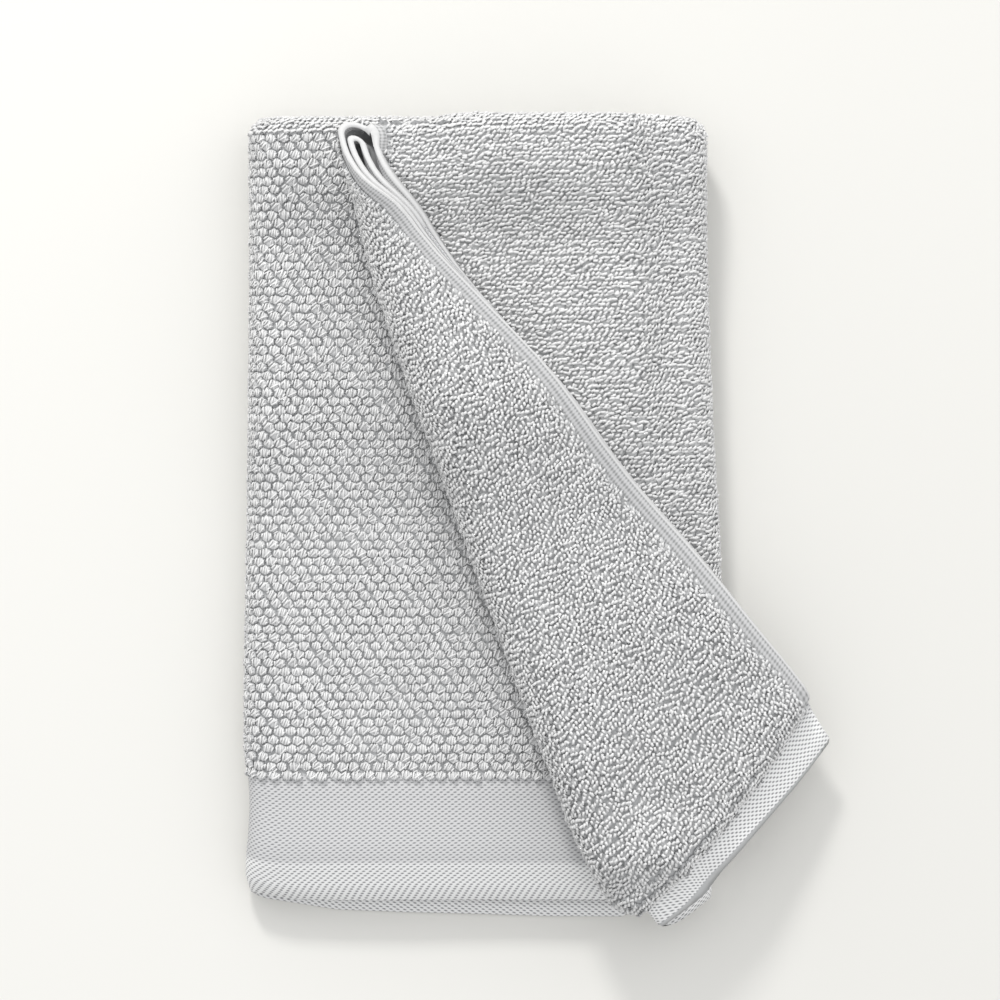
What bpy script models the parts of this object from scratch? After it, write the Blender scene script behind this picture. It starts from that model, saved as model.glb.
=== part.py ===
# Folded bath towel: one woven cloth, laid as it was folded by hand.
#
# The cloth is folded crosswise first, into four plies that lie on each other,
# then lengthwise in three, the left panel in and the right panel over it.
# Last, the lower corner of the right panel is turned back over a slanting crease.
# The flat cloth is a grid with its real thickness. section() folds a point of it
# into the stack of plies, and place() carries that stack through the other folds.
# Metres, +Z up. X is across the folded towel, Y along it, and it rests on z = 0.
import bisect
import math
from collections import namedtuple

import bmesh
import bpy

# The flat cloth
CLOTH_WIDTH = 0.76
CLOTH_LENGTH = 1.47
TERRY_THICKNESS = 0.0038
BORDER_THICKNESS = 0.0018
HEM_THICKNESS = 0.0028
SELVEDGE_THICKNESS = 0.0034
BORDER_WIDTH = 0.070
HEM_WIDTH = 0.0185
SELVEDGE_WIDTH = 0.009
PILE_STEP = 0.003
AIR = 0.0008
PANEL_AIR = 0.0020

# The crosswise folds, from the outer ply's free end
TOP_Y = 0.2325
OUTER_END_Y = -0.2260
BORDER_TOP_Y = OUTER_END_Y + BORDER_WIDTH
OUTER_PLY_RAMP = 0.020
TERRY_FOLD_Y = -0.2004
TERRY_FOLD_LIP = 0.001
INNER_FOLD_Y = 0.2230
TOP_PUFF = 0.0048
TOP_PUFF_OUTSIDE = 0.0026
TOP_PUFF_START = 0.080
TOP_PUFF_END = 0.022
TERRY_PUFF = 0.0012
TERRY_PUFF_LENGTH = 0.040
DROP_LENGTH = 0.090
END_STACK = 0.0075

# The lengthwise folds
BOTTOM_MIDDLE = 0.378
LEFT_INNER_RADIUS = PANEL_AIR / 2
RIGHT_INNER_RADIUS = 0.0035
LEFT_PANEL_SLIP = 0.62
RIGHT_RISE_LENGTH = 0.026

# The corner that is turned back
CREASE_TOP = (-0.0655, 0.2313)
CREASE_ANGLE = math.radians(19.3)
CREASE_DOWN = (math.sin(CREASE_ANGLE), -math.cos(CREASE_ANGLE))
CREASE_OUT = (-math.cos(CREASE_ANGLE), -math.sin(CREASE_ANGLE))
ROLL_LENGTH = 0.070
OVERHANG_RADIUS = 0.17
OVERHANG_START = -0.006
CREASE_DRAG = 0.030
OUTER_PLY_DRAG = 0.35
DRAG_PEAK = 0.575
DRAG_TOP_Y = 0.10
TOP_DRAG = 0.0065
TOP_DRAG_START = (0.660, 0.150)
TOP_DRAG_END = (0.730, 0.225)
END_SHIFT_LENGTH = 0.12
SLACK_POWER = 1.5

# The top's slow unevenness, as a share of its height
WAVE_SHARE = 0.0275
WAVE_ACROSS = 0.138
WAVE_ALONG = 0.192
WAVE_SLANT = 0.70
WAVE_PHASE = 0.7

SideRow = namedtuple("SideRow", "y left right")
SIDE_ROWS = [
    SideRow(-0.2260, -0.1358, 0.1395),
    SideRow(-0.2190, -0.1384, 0.1400),
    SideRow(-0.2120, -0.1388, 0.1405),
    SideRow(-0.1750, -0.1362, 0.1430),
    SideRow(-0.1300, -0.1386, 0.1440),
    SideRow(-0.0300, -0.1372, 0.1436),
    SideRow(0.0520, -0.1358, 0.1388),
    SideRow(0.1500, -0.1350, 0.1354),
    SideRow(0.2325, -0.1350, 0.1346),
]

# How far the free end lies past the left panel's end, across the flat cloth
EndRow = namedtuple("EndRow", "across shift")
END_ROWS = [
    EndRow(0.150, -0.0052),
    EndRow(0.205, -0.0052),
    EndRow(0.235, -0.0006),
    EndRow(0.248, -0.0046),
    EndRow(0.262, -0.0095),
    EndRow(0.292, -0.0123),
    EndRow(0.322, -0.0138),
    EndRow(0.475, -0.0135),
    EndRow(0.505, 0.002),
    EndRow(0.535, 0.003),
    EndRow(0.560, -0.008),
    EndRow(0.590, -0.008),
    EndRow(0.620, -0.0095),
    EndRow(0.660, -0.011),
    EndRow(0.760, -0.011),
]

# How the diagonal turn pulls the plies down the towel, across the flat cloth
DragRow = namedtuple("DragRow", "across share")
DRAG_ROWS = [
    DragRow(0.400, 0.00),
    DragRow(0.480, 0.30),
    DragRow(0.575, 1.10),
    DragRow(0.600, 1.22),
    DragRow(0.660, 0.95),
    DragRow(0.720, 0.57),
    DragRow(0.760, 0.18),
]

# The crease, by distance down it: its outline's distance from a straight line,
# and the radius of the hollow that the turned plies leave inside it
CreaseRow = namedtuple("CreaseRow", "along outline inner_radius")
CREASE_ROWS = [
    CreaseRow(0.000, 0.0165, 0.0010),
    CreaseRow(0.017, 0.0190, 0.0014),
    CreaseRow(0.088, 0.0246, 0.0036),
    CreaseRow(0.150, 0.0259, 0.0045),
    CreaseRow(0.207, 0.0261, 0.0052),
    CreaseRow(0.292, 0.0244, 0.0050),
    CreaseRow(0.397, 0.0229, 0.0042),
    CreaseRow(0.444, 0.0211, 0.0032),
    CreaseRow(0.485, 0.0140, 0.0015),
    CreaseRow(0.500, 0.0040, 0.0008),
]

# How far the turned corner's long edges are drawn in, by the place along the towel
SlackRow = namedtuple("SlackRow", "y outer_ply inner_ply")
SLACK_ROWS = [
    SlackRow(-0.2260, 0.014, 0.012),
    SlackRow(-0.1900, -0.005, 0.000),
    SlackRow(-0.1200, -0.013, -0.009),
    SlackRow(-0.0500, -0.012, -0.008),
    SlackRow(0.0200, -0.005, 0.000),
    SlackRow(0.0700, 0.003, 0.009),
    SlackRow(0.1100, 0.009, 0.018),
    SlackRow(0.1500, 0.013, 0.029),
    SlackRow(0.1900, 0.021, 0.049),
    SlackRow(0.2325, 0.027, 0.059),
]

# The grid over the flat cloth
PLY_ROWS_Y = [-0.100, -0.050, 0.000, 0.035, 0.070, 0.100, 0.135, 0.157, 0.175, 0.192, 0.207]
OUTER_TURN_STEPS = 6
TERRY_TURN_STEPS = 5
INNER_TURN_STEPS = 4
PANEL_STEPS = 3
LEFT_FOLD_LEAD = 0.020
SIDE_TURN_STEPS = 6
RISE_STEPS = 3
RISE_TO_CREASE_STEPS = 2
CREASE_TURN_STEPS = 6
ROLL_RUNS = [0.018, 0.042, 0.072, 0.105, 0.140]
FLAP_STEPS = 8
HALVINGS = 24


def smooth(value, start, end):
    """0 before start, 1 past end, and an even slope between them."""
    share = min(max((value - start) / (end - start), 0.0), 1.0)
    return share * share * (3.0 - 2.0 * share)


def mix(first, second, share):
    return first + (second - first) * share


def from_table(rows, column, at):
    """A column's value at a place along the table's first column."""
    places = [row[0] for row in rows]
    values = [getattr(row, column) for row in rows]
    if at <= places[0]:
        return values[0]
    if at >= places[-1]:
        return values[-1]
    low = bisect.bisect_right(places, at) - 1
    slopes = []
    for k in (low, low + 1):
        before = max(k - 1, 0)
        after = min(k + 1, len(rows) - 1)
        slopes.append((values[after] - values[before]) / (places[after] - places[before]))
    span = places[low + 1] - places[low]
    t = (at - places[low]) / span
    rise = t * t * (3.0 - 2.0 * t)
    start_pull = t * (1.0 - t) * (1.0 - t) * span * slopes[0]
    end_pull = t * t * (t - 1.0) * span * slopes[1]
    return mix(values[low], values[low + 1], rise) + start_pull + end_pull


def thickness(u, v):
    """The cloth's thickness: thin at its flat-woven borders and long edges."""
    from_end = min(v, CLOTH_LENGTH - v)
    from_side = min(u, CLOTH_WIDTH - u)
    edge = smooth(from_side, SELVEDGE_WIDTH, SELVEDGE_WIDTH + PILE_STEP)
    terry = mix(SELVEDGE_THICKNESS, TERRY_THICKNESS, edge)
    border = mix(HEM_THICKNESS, BORDER_THICKNESS, smooth(from_end, HEM_WIDTH, HEM_WIDTH + PILE_STEP))
    return mix(border, terry, smooth(from_end, BORDER_WIDTH, BORDER_WIDTH + PILE_STEP))


def puff(y):
    """0 down the towel, and 1 near its top, where the plies stand a little apart."""
    return smooth(y, TOP_Y - TOP_PUFF_START, TOP_Y - TOP_PUFF_END)


def outer_ply(y):
    """Thickness of the outer ply where the other plies lie on it."""
    return mix(HEM_THICKNESS, TERRY_THICKNESS, smooth(y, BORDER_TOP_Y - OUTER_PLY_RAMP, BORDER_TOP_Y))


def short_ply_level(y):
    return outer_ply(y) + AIR + TERRY_THICKNESS / 2 + TOP_PUFF_OUTSIDE * puff(y)


def return_ply_level(y):
    pitch = TERRY_THICKNESS + AIR
    over_short_ply = smooth(y, SHORT_END_Y - DROP_LENGTH, SHORT_END_Y)
    return outer_ply(y) + AIR + TERRY_THICKNESS / 2 + pitch * over_short_ply + TOP_PUFF * puff(y)


def inner_ply_level(y):
    terry_puff = TERRY_PUFF * (1.0 - smooth(y, TERRY_TURN_Y, TERRY_TURN_Y + TERRY_PUFF_LENGTH))
    return return_ply_level(y) + TERRY_THICKNESS + AIR + terry_puff


def stack(y):
    """Height of the plies on each other, easing down past the terry fold."""
    terry_end = TERRY_FOLD_Y - TERRY_FOLD_LIP
    full = inner_ply_level(max(y, terry_end)) + TERRY_THICKNESS / 2
    return mix(END_STACK, full, smooth(y, OUTER_END_Y, terry_end))


# Turns of the section, each a half circle between two plies. The short ply gets
# the length that is left, and its end sets where the plies over it drop.
OUTER_TURN_RADIUS = (3 * (TERRY_THICKNESS + AIR) + TOP_PUFF) / 2
TERRY_TURN_RADIUS = (TERRY_THICKNESS + AIR + TERRY_PUFF) / 2
INNER_TURN_RADIUS = (TERRY_THICKNESS + AIR + TOP_PUFF - TOP_PUFF_OUTSIDE) / 2
OUTER_TURN_Y = TOP_Y - TERRY_THICKNESS / 2 - OUTER_TURN_RADIUS
TERRY_TURN_Y = TERRY_FOLD_Y + TERRY_THICKNESS / 2 + TERRY_TURN_RADIUS
INNER_TURN_Y = INNER_FOLD_Y - TERRY_THICKNESS / 2 - INNER_TURN_RADIUS
OUTER_RUN_END = OUTER_TURN_Y - OUTER_END_Y
INNER_RUN_START = OUTER_RUN_END + math.pi * OUTER_TURN_RADIUS
INNER_RUN_END = INNER_RUN_START + OUTER_TURN_Y - TERRY_TURN_Y
RETURN_RUN_START = INNER_RUN_END + math.pi * TERRY_TURN_RADIUS
RETURN_RUN_END = RETURN_RUN_START + INNER_TURN_Y - TERRY_TURN_Y
SHORT_RUN_START = RETURN_RUN_END + math.pi * INNER_TURN_RADIUS
SHORT_END_Y = INNER_TURN_Y - (CLOTH_LENGTH - SHORT_RUN_START)


def half_turn(y, level, radius, angle, offset):
    """A point on a turn: angle 0 is the ply below, half a circle is the ply above."""
    reach = radius - offset
    return y + reach * math.sin(angle), level - reach * math.cos(angle)


def section(u, v, side):
    """Place along the towel and height in the stack. side is 0 outside, 1 inside."""
    depth = thickness(u, v)
    offset = (side - 0.5) * depth
    if v <= OUTER_RUN_END:
        return OUTER_END_Y + v, depth * side
    if v < INNER_RUN_START:
        angle = (v - OUTER_RUN_END) / OUTER_TURN_RADIUS
        middle = TERRY_THICKNESS / 2 + OUTER_TURN_RADIUS
        return half_turn(OUTER_TURN_Y, middle, OUTER_TURN_RADIUS, angle, offset)
    if v <= INNER_RUN_END:
        y = OUTER_TURN_Y - (v - INNER_RUN_START)
        return y, inner_ply_level(y) - offset
    if v < RETURN_RUN_START:
        angle = math.pi - (v - INNER_RUN_END) / TERRY_TURN_RADIUS
        middle = inner_ply_level(TERRY_TURN_Y) - TERRY_TURN_RADIUS
        y, level = half_turn(0.0, middle, TERRY_TURN_RADIUS, angle, offset)
        return TERRY_TURN_Y - y, level
    if v <= RETURN_RUN_END:
        y = TERRY_TURN_Y + v - RETURN_RUN_START
        return y, return_ply_level(y) + offset
    if v < SHORT_RUN_START:
        angle = math.pi - (v - RETURN_RUN_END) / INNER_TURN_RADIUS
        middle = return_ply_level(INNER_TURN_Y) - INNER_TURN_RADIUS
        return half_turn(INNER_TURN_Y, middle, INNER_TURN_RADIUS, angle, -offset)
    y = INNER_TURN_Y - (v - SHORT_RUN_START)
    return y, short_ply_level(y) - offset


def drag(u, y):
    """How far the diagonal turn pulls the plies down the towel at its crease."""
    at_end = CREASE_DRAG * from_table(DRAG_ROWS, "share", u) * (1.0 - smooth(y, TERRY_FOLD_Y, DRAG_TOP_Y))
    across = smooth(u, TOP_DRAG_START[0], TOP_DRAG_END[0])
    return at_end + TOP_DRAG * across * smooth(y, TOP_DRAG_START[1], TOP_DRAG_END[1])


def end_shift(u, y):
    """How far the cloth's uneven end pulls this place along the towel."""
    fade = 1.0 - smooth(y, OUTER_END_Y, OUTER_END_Y + END_SHIFT_LENGTH)
    return from_table(END_ROWS, "shift", u) * fade


def left_fold(y):
    """Middle and radius of the fold on the left, at the foot of the stack."""
    radius = stack(y) + LEFT_INNER_RADIUS
    return from_table(SIDE_ROWS, "left", y) + radius, radius


def right_fold(y, plies):
    radius = plies + RIGHT_INNER_RADIUS
    return from_table(SIDE_ROWS, "right", y) - radius, radius


def top_of_left_panel(y):
    return 2 * stack(y) + PANEL_AIR


def highest_right_panel(y, plies):
    over_left_panel = top_of_left_panel(y) + PANEL_AIR + plies
    return max(over_left_panel, 2 * (plies + RIGHT_INNER_RADIUS))


def top_of_right_panel(x, y, plies):
    """The right panel lies on the left one, and sinks to its own fold past it."""
    fold_x, fold_radius = right_fold(y, plies)
    return mix(2 * fold_radius, highest_right_panel(y, plies), smooth(fold_x - x, 0.0, RIGHT_RISE_LENGTH))


def plies_under(x, y):
    """Stack height of the right panel under a place on the turned corner."""
    fold_x, fold_radius = right_fold(y, stack(y))
    panel_u = min(BOTTOM_MIDDLE + 2 * fold_x + math.pi * fold_radius - min(x, fold_x), CLOTH_WIDTH)
    return stack(y + drag(panel_u, y) - end_shift(panel_u, y))


def crease_at(x, y):
    """Distance down the crease and past it, its hollow's radius and its axis shift."""
    from_top = (x - CREASE_TOP[0], y - CREASE_TOP[1])
    along = from_top[0] * CREASE_DOWN[0] + from_top[1] * CREASE_DOWN[1]
    past_line = from_top[0] * CREASE_OUT[0] + from_top[1] * CREASE_OUT[1]
    axis_y = CREASE_TOP[1] + along * CREASE_DOWN[1]
    plies = stack(axis_y + drag(DRAG_PEAK, axis_y) - end_shift(DRAG_PEAK, axis_y))
    inner_radius = from_table(CREASE_ROWS, "inner_radius", along)
    shift = from_table(CREASE_ROWS, "outline", along) - inner_radius - plies
    return along, past_line - shift, inner_radius, shift


def turn_corner(x, y, height, plies):
    """Right panel to turned corner: around the crease, then flat on the panel."""
    along, turned, inner_radius, shift = crease_at(x, y)
    if turned <= 0.0:
        return x, y, top_of_right_panel(x, y, plies) - height
    axis_x = CREASE_TOP[0] + along * CREASE_DOWN[0] + shift * CREASE_OUT[0]
    axis_y = CREASE_TOP[1] + along * CREASE_DOWN[1] + shift * CREASE_OUT[1]
    radius = inner_radius + PANEL_AIR / 2 + height
    angle = turned / radius
    if angle < math.pi:
        panel_top = highest_right_panel(axis_y, plies_under(axis_x, axis_y))
        reach = radius * math.sin(angle)
        z = panel_top + inner_radius + PANEL_AIR / 2 - radius * math.cos(angle)
        return axis_x + CREASE_OUT[0] * reach, axis_y + CREASE_OUT[1] * reach, z
    run = turned - math.pi * radius
    x = axis_x - CREASE_OUT[0] * run
    y = axis_y - CREASE_OUT[1] * run
    under = plies_under(x, y)
    fold_x = right_fold(y, under)[0]
    roll = 2 * inner_radius * (1.0 - smooth(run, 0.0, ROLL_LENGTH))
    bed = highest_right_panel(y, under) + PANEL_AIR + roll
    bend_x = fold_x + OVERHANG_START
    bend = (x - bend_x) / OVERHANG_RADIUS
    if bend <= 0.0:
        return x, y, bed + height
    reach = OVERHANG_RADIUS + height
    return bend_x + reach * math.sin(bend), y, bed - OVERHANG_RADIUS + reach * math.cos(bend)


def folded_plies(u, y, height):
    """Place along the towel of this ply, and the stack height that its folds wrap."""
    pulled = drag(u, y)
    in_gap = smooth(height, outer_ply(y) + 0.1 * AIR, outer_ply(y) + 0.9 * AIR)
    ply_share = mix(OUTER_PLY_DRAG, 1.0, in_gap)
    return y + end_shift(u, y) - pulled * ply_share, stack(y + pulled * (1.0 - ply_share))


def right_panel_x(u, y, height, fold_x, arc):
    """Where the right panel lies before its corner is turned."""
    run = u - BOTTOM_MIDDLE - fold_x - arc
    full_run = CLOTH_WIDTH - BOTTOM_MIDDLE - fold_x - arc
    outer_slack = from_table(SLACK_ROWS, "outer_ply", y)
    inner_slack = from_table(SLACK_ROWS, "inner_ply", y)
    slack = mix(outer_slack, inner_slack, min(height / stack(y), 1.0))
    return fold_x - run + slack * (run / full_run) ** SLACK_POWER


def place(u, y, height):
    """From the flat width, the place along the towel and the height in the stack."""
    walk = u - BOTTOM_MIDDLE
    y_here, plies = folded_plies(u, y, height)
    left_x, left_radius = left_fold(y)
    right_x, right_radius = right_fold(y_here, plies)
    if left_x <= walk <= right_x:
        return walk, y_here, height
    if walk < left_x:
        radius = left_radius - height
        run = left_x - walk - math.pi * radius
        if run < 0.0:
            angle = (left_x - walk) / radius
            return left_x - radius * math.sin(angle), y_here, left_radius - radius * math.cos(angle)
        full_run = left_x + BOTTOM_MIDDLE - math.pi * radius
        slip = LEFT_PANEL_SLIP * math.pi * height * run / full_run
        return left_x + run - slip, y_here, top_of_left_panel(y) - height
    radius = right_radius - height
    arc = math.pi * radius
    if walk - right_x < arc:
        angle = (walk - right_x) / radius
        return right_x + radius * math.sin(angle), y_here, right_radius - radius * math.cos(angle)
    x = right_panel_x(u, y, height, right_x, arc)
    return turn_corner(x, y_here, height, plies)


def fold_point(u, v, side):
    """One point of the flat cloth, folded. The top lies a little unevenly."""
    y, height = section(u, v, side)
    x, y, z = place(u, y, height)
    across = math.tau * x / WAVE_ACROSS + WAVE_PHASE
    along = math.tau * (y / WAVE_ALONG + x / WAVE_SLANT)
    return x, y, z * (1.0 + WAVE_SHARE * math.sin(across) * math.sin(along))


def spread(start, end, steps):
    """Even places from start to end, without the start."""
    return [mix(start, end, k / steps) for k in range(1, steps + 1)]


def rows_along():
    """Places of the grid's rows along the flat cloth. The plies share their rows' y."""
    rows = [0.0, HEM_WIDTH, HEM_WIDTH + PILE_STEP]
    rows += [BORDER_WIDTH - OUTER_PLY_RAMP, BORDER_WIDTH, BORDER_WIDTH + PILE_STEP]
    rows += [y - OUTER_END_Y for y in PLY_ROWS_Y] + [OUTER_RUN_END]
    rows += spread(OUTER_RUN_END, INNER_RUN_START, OUTER_TURN_STEPS)
    plies_y = [BORDER_TOP_Y - OUTER_PLY_RAMP, BORDER_TOP_Y + PILE_STEP] + PLY_ROWS_Y
    rows += [INNER_RUN_START + OUTER_TURN_Y - y for y in reversed(plies_y)] + [INNER_RUN_END]
    rows += spread(INNER_RUN_END, RETURN_RUN_START, TERRY_TURN_STEPS)
    rows += [RETURN_RUN_START + y - TERRY_TURN_Y for y in plies_y] + [RETURN_RUN_END]
    rows += spread(RETURN_RUN_END, SHORT_RUN_START, INNER_TURN_STEPS)
    border_start = CLOTH_LENGTH - BORDER_WIDTH
    shared_rows = [SHORT_RUN_START + INNER_TURN_Y - y for y in reversed(PLY_ROWS_Y)]
    rows += [v for v in shared_rows if SHORT_RUN_START < v < border_start - PILE_STEP] + [border_start - PILE_STEP]
    rows += [border_start, CLOTH_LENGTH - HEM_WIDTH - PILE_STEP, CLOTH_LENGTH - HEM_WIDTH, CLOTH_LENGTH]
    return rows


def crease_over(u, y, height):
    """How far past the crease a place on the flat width comes to lie, and the hollow there."""
    y_here, plies = folded_plies(u, y, height)
    right_x, right_radius = right_fold(y_here, plies)
    x = right_panel_x(u, y, height, right_x, math.pi * (right_radius - height))
    return crease_at(x, y_here)[1:3]


def crease_place(target, u_start, y, height):
    """Where a ply comes to lie this far past the crease, found by halving."""
    low, high = u_start, CLOTH_WIDTH
    for _ in range(HALVINGS):
        middle = (low + high) / 2
        if crease_over(middle, y, height)[0] < target:
            low = middle
        else:
            high = middle
    return low


def columns_across(v):
    """Places of the grid's columns on one row: they follow the folds of that ply."""
    y, height = section(CLOTH_WIDTH / 2, v, 0.5)
    left_x, left_radius = left_fold(y)
    right_x, right_radius = right_fold(y, stack(y))
    left_end = BOTTOM_MIDDLE + left_x
    left_start = left_end - math.pi * (left_radius - height)
    right_start = BOTTOM_MIDDLE + right_x
    right_end = right_start + math.pi * (right_radius - height)
    columns = [0.0, SELVEDGE_WIDTH, SELVEDGE_WIDTH + PILE_STEP]
    columns += spread(columns[-1], left_start - LEFT_FOLD_LEAD, PANEL_STEPS) + [left_start]
    columns += spread(left_start, left_end, SIDE_TURN_STEPS)
    columns += spread(left_end, right_start, PANEL_STEPS)
    columns += spread(right_start, right_end, SIDE_TURN_STEPS)
    crease = crease_place(0.0, right_end, y, height)
    rise = min(RIGHT_RISE_LENGTH / RISE_STEPS, (crease - right_end) / (RISE_STEPS + RISE_TO_CREASE_STEPS))
    columns += [right_end + rise * k for k in range(1, RISE_STEPS + 1)]
    columns += spread(columns[-1], crease, RISE_TO_CREASE_STEPS)
    rest = crease_over(CLOTH_WIDTH, y, height)[0]
    radius = crease_over(crease, y, height)[1] + PANEL_AIR / 2 + height
    turned = min(math.pi * radius, rest * CREASE_TURN_STEPS / (CREASE_TURN_STEPS + FLAP_STEPS))
    rest -= turned
    strip = min(SELVEDGE_WIDTH, rest / FLAP_STEPS)
    runs = [min(run, rest * (k + 1) / FLAP_STEPS) for k, run in enumerate(ROLL_RUNS)]
    runs += spread(runs[-1], rest - strip, FLAP_STEPS - len(ROLL_RUNS) - 1)
    targets = spread(0.0, turned, CREASE_TURN_STEPS) + [turned + run for run in runs]
    columns += [crease_place(target, right_end, y, height) for target in targets]
    columns.append(CLOTH_WIDTH)
    return columns


def cotton_material():
    """Grey cotton terry, matt."""
    material = bpy.data.materials.new("grey_cotton_terry")
    material.use_nodes = True
    shader = material.node_tree.nodes["Principled BSDF"]
    shader.inputs["Base Color"].default_value = (0.60, 0.61, 0.63, 1.0)
    shader.inputs["Roughness"].default_value = 0.95
    shader.inputs["Metallic"].default_value = 0.0
    return material


def split_faces(cloth):
    """Triangles with one slant in all plies, so that neighbours keep their distance."""
    outer_turn = (OUTER_RUN_END + INNER_RUN_START) / 2
    terry_turn = (INNER_RUN_END + RETURN_RUN_START) / 2
    inner_turn = (RETURN_RUN_END + SHORT_RUN_START) / 2
    going_up = []
    going_down = []
    for face in cloth.faces:
        v = face.calc_center_median().y
        rising = v < outer_turn or terry_turn < v < inner_turn
        (going_up if rising else going_down).append(face)
    bmesh.ops.triangulate(cloth, faces=going_up, quad_method="FIXED")
    bmesh.ops.triangulate(cloth, faces=going_down, quad_method="ALTERNATE")


def make_towel(collection):
    """The whole cloth as one closed sheet: a flat grid, thickened, then folded."""
    rows = rows_along()
    grid = [columns_across(v) for v in rows]
    column_count = len(grid[0])
    mesh = bpy.data.meshes.new("towel")
    cloth = bmesh.new()
    bmesh.ops.create_grid(cloth, x_segments=column_count - 1, y_segments=len(rows) - 1, size=1.0)
    for vertex in cloth.verts:
        column = round((vertex.co.x + 1.0) / 2.0 * (column_count - 1))
        row = round((vertex.co.y + 1.0) / 2.0 * (len(rows) - 1))
        vertex.co = (grid[row][column], rows[row], 0.0)
    split_faces(cloth)
    raised = bmesh.ops.extrude_face_region(cloth, geom=cloth.faces[:], use_keep_orig=True)
    for element in raised["geom"]:
        if isinstance(element, bmesh.types.BMVert):
            element.co.z = 1.0
    for vertex in cloth.verts:
        vertex.co = fold_point(vertex.co.x, vertex.co.y, vertex.co.z)
    bmesh.ops.triangulate(cloth, faces=cloth.faces[:])
    bmesh.ops.recalc_face_normals(cloth, faces=cloth.faces[:])
    cloth.to_mesh(mesh)
    cloth.free()
    mesh.shade_smooth()
    mesh.materials.append(cotton_material())
    towel = bpy.data.objects.new("towel", mesh)
    collection.objects.link(towel)
    return towel


def main():
    for old in list(bpy.data.objects):
        bpy.data.objects.remove(old)
    collection = bpy.data.collections.new("folded_bath_towel")
    bpy.context.scene.collection.children.link(collection)
    make_towel(collection)


main()
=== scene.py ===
import bisect
import math
import random
from collections import namedtuple

import bmesh
import bpy
from mathutils import Matrix, Vector
from mathutils.bvhtree import BVHTree


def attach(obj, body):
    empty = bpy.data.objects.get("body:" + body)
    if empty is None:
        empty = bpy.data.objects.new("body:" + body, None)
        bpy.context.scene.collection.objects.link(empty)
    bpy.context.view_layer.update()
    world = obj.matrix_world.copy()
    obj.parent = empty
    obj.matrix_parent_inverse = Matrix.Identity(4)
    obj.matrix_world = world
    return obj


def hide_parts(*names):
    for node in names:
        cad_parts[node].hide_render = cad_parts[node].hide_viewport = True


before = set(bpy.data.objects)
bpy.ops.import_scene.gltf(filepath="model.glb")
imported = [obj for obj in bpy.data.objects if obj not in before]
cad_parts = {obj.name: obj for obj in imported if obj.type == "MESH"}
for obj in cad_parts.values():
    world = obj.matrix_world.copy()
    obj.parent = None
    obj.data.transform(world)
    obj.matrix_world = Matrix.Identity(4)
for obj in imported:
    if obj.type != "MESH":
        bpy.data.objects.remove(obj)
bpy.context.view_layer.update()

# The cloth
# One woven cotton cloth: a ground weave that carries the pile, a flat dobby border with a
# turned hem at each end, and a firm selvedge along each side. section() folds it crosswise
# into four plies. place() folds those lengthwise in three and turns one corner back.
CLOTH_WIDTH = 0.76
CLOTH_LENGTH = 1.47
TERRY_THICKNESS = 0.0038
GROUND_THICKNESS = 0.0016
BORDER_THICKNESS = 0.0018
HEM_THICKNESS = 0.0028
SELVEDGE_THICKNESS = 0.0034
BORDER_WIDTH = 0.070
HEM_WIDTH = 0.0185
SELVEDGE_WIDTH = 0.009
PILE_STEP = 0.003
AIR = 0.0008
PANEL_AIR = 0.0020

TOP_Y = 0.2325
OUTER_END_Y = -0.2260
BORDER_TOP_Y = OUTER_END_Y + BORDER_WIDTH
OUTER_PLY_RAMP = 0.020
TERRY_FOLD_Y = -0.2004
TERRY_FOLD_LIP = 0.001
INNER_FOLD_Y = 0.2230
TOP_PUFF = 0.0048
TOP_PUFF_OUTSIDE = 0.0026
TOP_PUFF_START = 0.080
TOP_PUFF_END = 0.022
TERRY_PUFF = 0.0012
TERRY_PUFF_LENGTH = 0.040
DROP_LENGTH = 0.090
END_STACK = 0.0075

BOTTOM_MIDDLE = 0.378
LEFT_INNER_RADIUS = PANEL_AIR / 2
RIGHT_INNER_RADIUS = 0.0035
LEFT_PANEL_SLIP = 0.62
RIGHT_RISE_LENGTH = 0.026

CREASE_TOP = (-0.0655, 0.2313)
CREASE_ANGLE = math.radians(19.3)
CREASE_DOWN = (math.sin(CREASE_ANGLE), -math.cos(CREASE_ANGLE))
CREASE_OUT = (-math.cos(CREASE_ANGLE), -math.sin(CREASE_ANGLE))
ROLL_LENGTH = 0.070
OVERHANG_RADIUS = 0.17
OVERHANG_START = -0.006
CREASE_DRAG = 0.030
OUTER_PLY_DRAG = 0.35
DRAG_PEAK = 0.575
DRAG_TOP_Y = 0.10
TOP_DRAG = 0.0065
TOP_DRAG_START = (0.660, 0.150)
TOP_DRAG_END = (0.730, 0.225)
END_SHIFT_LENGTH = 0.12
SLACK_POWER = 1.5

WAVE_SHARE = 0.0275
WAVE_ACROSS = 0.138
WAVE_ALONG = 0.192
WAVE_SLANT = 0.70
WAVE_PHASE = 0.7

SideRow = namedtuple("SideRow", "y left right")
SIDE_ROWS = [
    SideRow(-0.2260, -0.1358, 0.1395),
    SideRow(-0.2190, -0.1384, 0.1400),
    SideRow(-0.2120, -0.1388, 0.1405),
    SideRow(-0.1750, -0.1362, 0.1430),
    SideRow(-0.1300, -0.1386, 0.1440),
    SideRow(-0.0300, -0.1372, 0.1436),
    SideRow(0.0520, -0.1358, 0.1388),
    SideRow(0.1500, -0.1350, 0.1354),
    SideRow(0.2325, -0.1350, 0.1346),
]

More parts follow.
